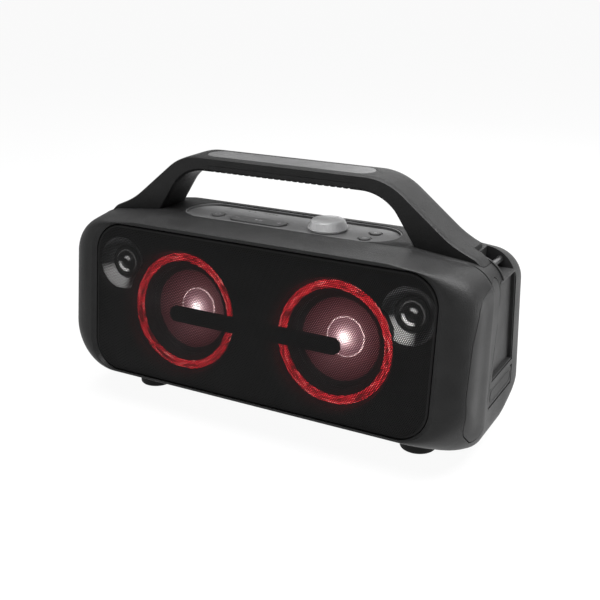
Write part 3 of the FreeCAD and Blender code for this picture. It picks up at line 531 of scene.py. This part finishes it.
# --- Marks on the buttons -------------------------------------------------------------------
# Places and sizes are in mm, seen from above.
INK = 0.04                          # how far a printed mark stands on its surface
BUTTON_TOP = 186.9
SMALL_BUTTON_TOP = 186.6
POWER_AT = (-76.8, -4.6)
SKIP_Y = -6.8
MINUS_X, PLAY_X, PAUSE_X, PLUS_X = -53.0, -33.2, (-28.2, -26.4), -7.0
MODE_AT = (83.2, -10.8)
LIGHT_AT = (85.2, 8.4)


def bar_mark(x, y, length, width, turn=0.0):
    """Corners of a bar about (x, y), turned by degrees."""
    c, s = math.cos(math.radians(turn)), math.sin(math.radians(turn))
    corners = [(-length / 2, -width / 2), (length / 2, -width / 2), (length / 2, width / 2),
               (-length / 2, width / 2)]
    return [[(x + a * c - b * s, y + a * s + b * c) for a, b in corners]]


def arc_mark(x, y, radius, width, start, end, steps=20):
    """Quads of an arc about (x, y) from one angle to another, in degrees."""
    quads = []
    for i in range(steps):
        a, b = (math.radians(start + (end - start) * (i + k) / steps) for k in (0, 1))
        quads.append([(x + r * math.cos(t), y + r * math.sin(t))
                      for r, t in ((radius, a), (radius + width, a), (radius + width, b),
                                   (radius, b))])
    return quads


def printed(name, polygons, top, body):
    """A flat printed mark on a button; polygons are lists of (x, y)."""
    points, faces = [], []
    for polygon in polygons:
        faces.append(tuple(range(len(points), len(points) + len(polygon))))
        points += [Vector((x, y, top + INK)) * MM for x, y in polygon]
    piece(name, points, faces, "icon", body)


power_x, power_y = POWER_AT
printed("power_mark", arc_mark(power_x, power_y, 2.2, 0.6, 125, 415)
        + bar_mark(power_x, power_y + 2.2, 0.6, 2.4), BUTTON_TOP, "power_button")

minus = bar_mark(MINUS_X, SKIP_Y, 4.4, 0.8)
plus = bar_mark(PLUS_X, SKIP_Y, 4.4, 0.8) + bar_mark(PLUS_X, SKIP_Y, 4.4, 0.8, 90)
play = [[(PLAY_X, SKIP_Y - 2.2), (PLAY_X + 3.4, SKIP_Y), (PLAY_X, SKIP_Y + 2.2)]]
pause = [bar for x in PAUSE_X for bar in bar_mark(x, SKIP_Y, 0.9, 4.2)]
printed("transport_mark", minus + plus + play + pause, BUTTON_TOP, "transport_button")

mode_x, mode_y = MODE_AT
bars = [bar for rise in (-1.5, 0.0, 1.5) for bar in bar_mark(mode_x, mode_y + rise, 4.0, 0.7)]
printed("mode_mark", bars, SMALL_BUTTON_TOP, "mode_button")

light_x, light_y = LIGHT_AT
sun = arc_mark(light_x, light_y, 0.0, 1.3, 0, 360)
for ray in range(8):
    a = ray * math.pi / 4
    sun += bar_mark(light_x + 2.6 * math.cos(a), light_y + 2.6 * math.sin(a), 1.1, 0.5,
                    math.degrees(a))
printed("light_mark", sun, SMALL_BUTTON_TOP, "light_button")

# --- Smooth shading of the CAD nodes --------------------------------------------------------
WELD_GAP = 0.000004                 # m, corners nearer than this are one
CREASE = 32.0                       # degrees, the least that stays sharp
CREASES = {"knob": 8.0}             # the knob keeps its facets
for name, node in NODES.items():
    if not node.hide_render:
        smooth(node, CREASES.get(name, CREASE))

# --- Floor, light and camera ----------------------------------------------------------------
FLOOR_HALF = 30.0
floor_mesh = bpy.data.meshes.new("floor")
floor_mesh.from_pydata([(-FLOOR_HALF, -FLOOR_HALF, 0), (FLOOR_HALF, -FLOOR_HALF, 0),
                        (FLOOR_HALF, FLOOR_HALF, 0), (-FLOOR_HALF, FLOOR_HALF, 0)],
                       [], [(0, 1, 2, 3)])
floor = bpy.data.objects.new("floor", floor_mesh)
bpy.context.scene.collection.objects.link(floor)
floor_mesh.materials.append(finish_of("floor_paper", grey(0.07), 0.9, tint=0.01,
                                      grain=300.0, Specular_IOR_Level=0.0,
                                      Emission_Color=(1, 1, 1, 1), Emission_Strength=0.94))

SKY_STOPS = ((0.05, 0.32), (0.5, 0.12))  # height of the direction, brightness


def studio():
    """A dim room that is lighter near the floor, seen as a white backdrop."""
    world = bpy.data.worlds.new("studio")
    world.use_nodes = True
    nodes, link = world.node_tree.nodes, world.node_tree.links.new
    height = nodes.new("ShaderNodeSeparateXYZ")
    link(nodes.new("ShaderNodeTexCoord").outputs["Generated"], height.inputs[0])
    fade = nodes.new("ShaderNodeValToRGB")
    link(height.outputs["Z"], fade.inputs[0])
    for element, (position, level) in zip(fade.color_ramp.elements, SKY_STOPS):
        element.position = position
        element.color = (level, level, level, 1.0)
    room, backdrop = nodes["Background"], nodes.new("ShaderNodeBackground")
    link(fade.outputs[0], room.inputs["Color"])
    backdrop.inputs["Color"].default_value = (1.0, 1.0, 1.0, 1.0)
    seen = nodes.new("ShaderNodeMixShader")
    link(nodes.new("ShaderNodeLightPath").outputs["Is Camera Ray"], seen.inputs[0])
    link(room.outputs[0], seen.inputs[1])
    link(backdrop.outputs[0], seen.inputs[2])
    link(seen.outputs[0], nodes["World Output"].inputs["Surface"])
    bpy.context.scene.world = world


studio()


def softbox(name, location, target, size, power):
    """A rectangular soft light aimed at a point."""
    data = bpy.data.lights.new(name, "AREA")
    data.shape = "RECTANGLE"
    data.size, data.size_y = size
    data.energy = power
    light = bpy.data.objects.new(name, data)
    light.location = location
    aim = Vector(target) - Vector(location)
    light.rotation_euler = aim.to_track_quat("-Z", "Y").to_euler()
    bpy.context.scene.collection.objects.link(light)


softbox("top_light", (0.0, 0.0, 1.25), (0, 0.0, 0.15), (1.05, 1.5), 34.0)
softbox("shoulder_light", (0.66, 0.15, 0.98), (0.19, -0.05, 0.16), (0.36, 0.36), 11.0)
softbox("rear_light", (0.1, 1.45, 0.72), (0.0, 0.0, 0.19), (1.6, 0.45), 4.5)
softbox("right_light", (1.25, 0.45, 0.10), (0.2, 0.05, 0.07), (0.9, 0.20), 4.6)

# The camera stands in front, to the right and above.
camera_data = bpy.data.cameras.new("camera")
camera_data.lens = 56.54
camera_data.sensor_width = 36.0
camera = bpy.data.objects.new("camera", camera_data)
camera.location = (0.4232, -0.7466, 0.4236)
camera_aim = Vector((0.05264, -0.0745, 0.1424)) - camera.location
camera.rotation_euler = camera_aim.to_track_quat("-Z", "Y").to_euler()
bpy.context.scene.collection.objects.link(camera)
bpy.context.scene.camera = camera
bpy.context.scene.view_settings.view_transform = "Standard"
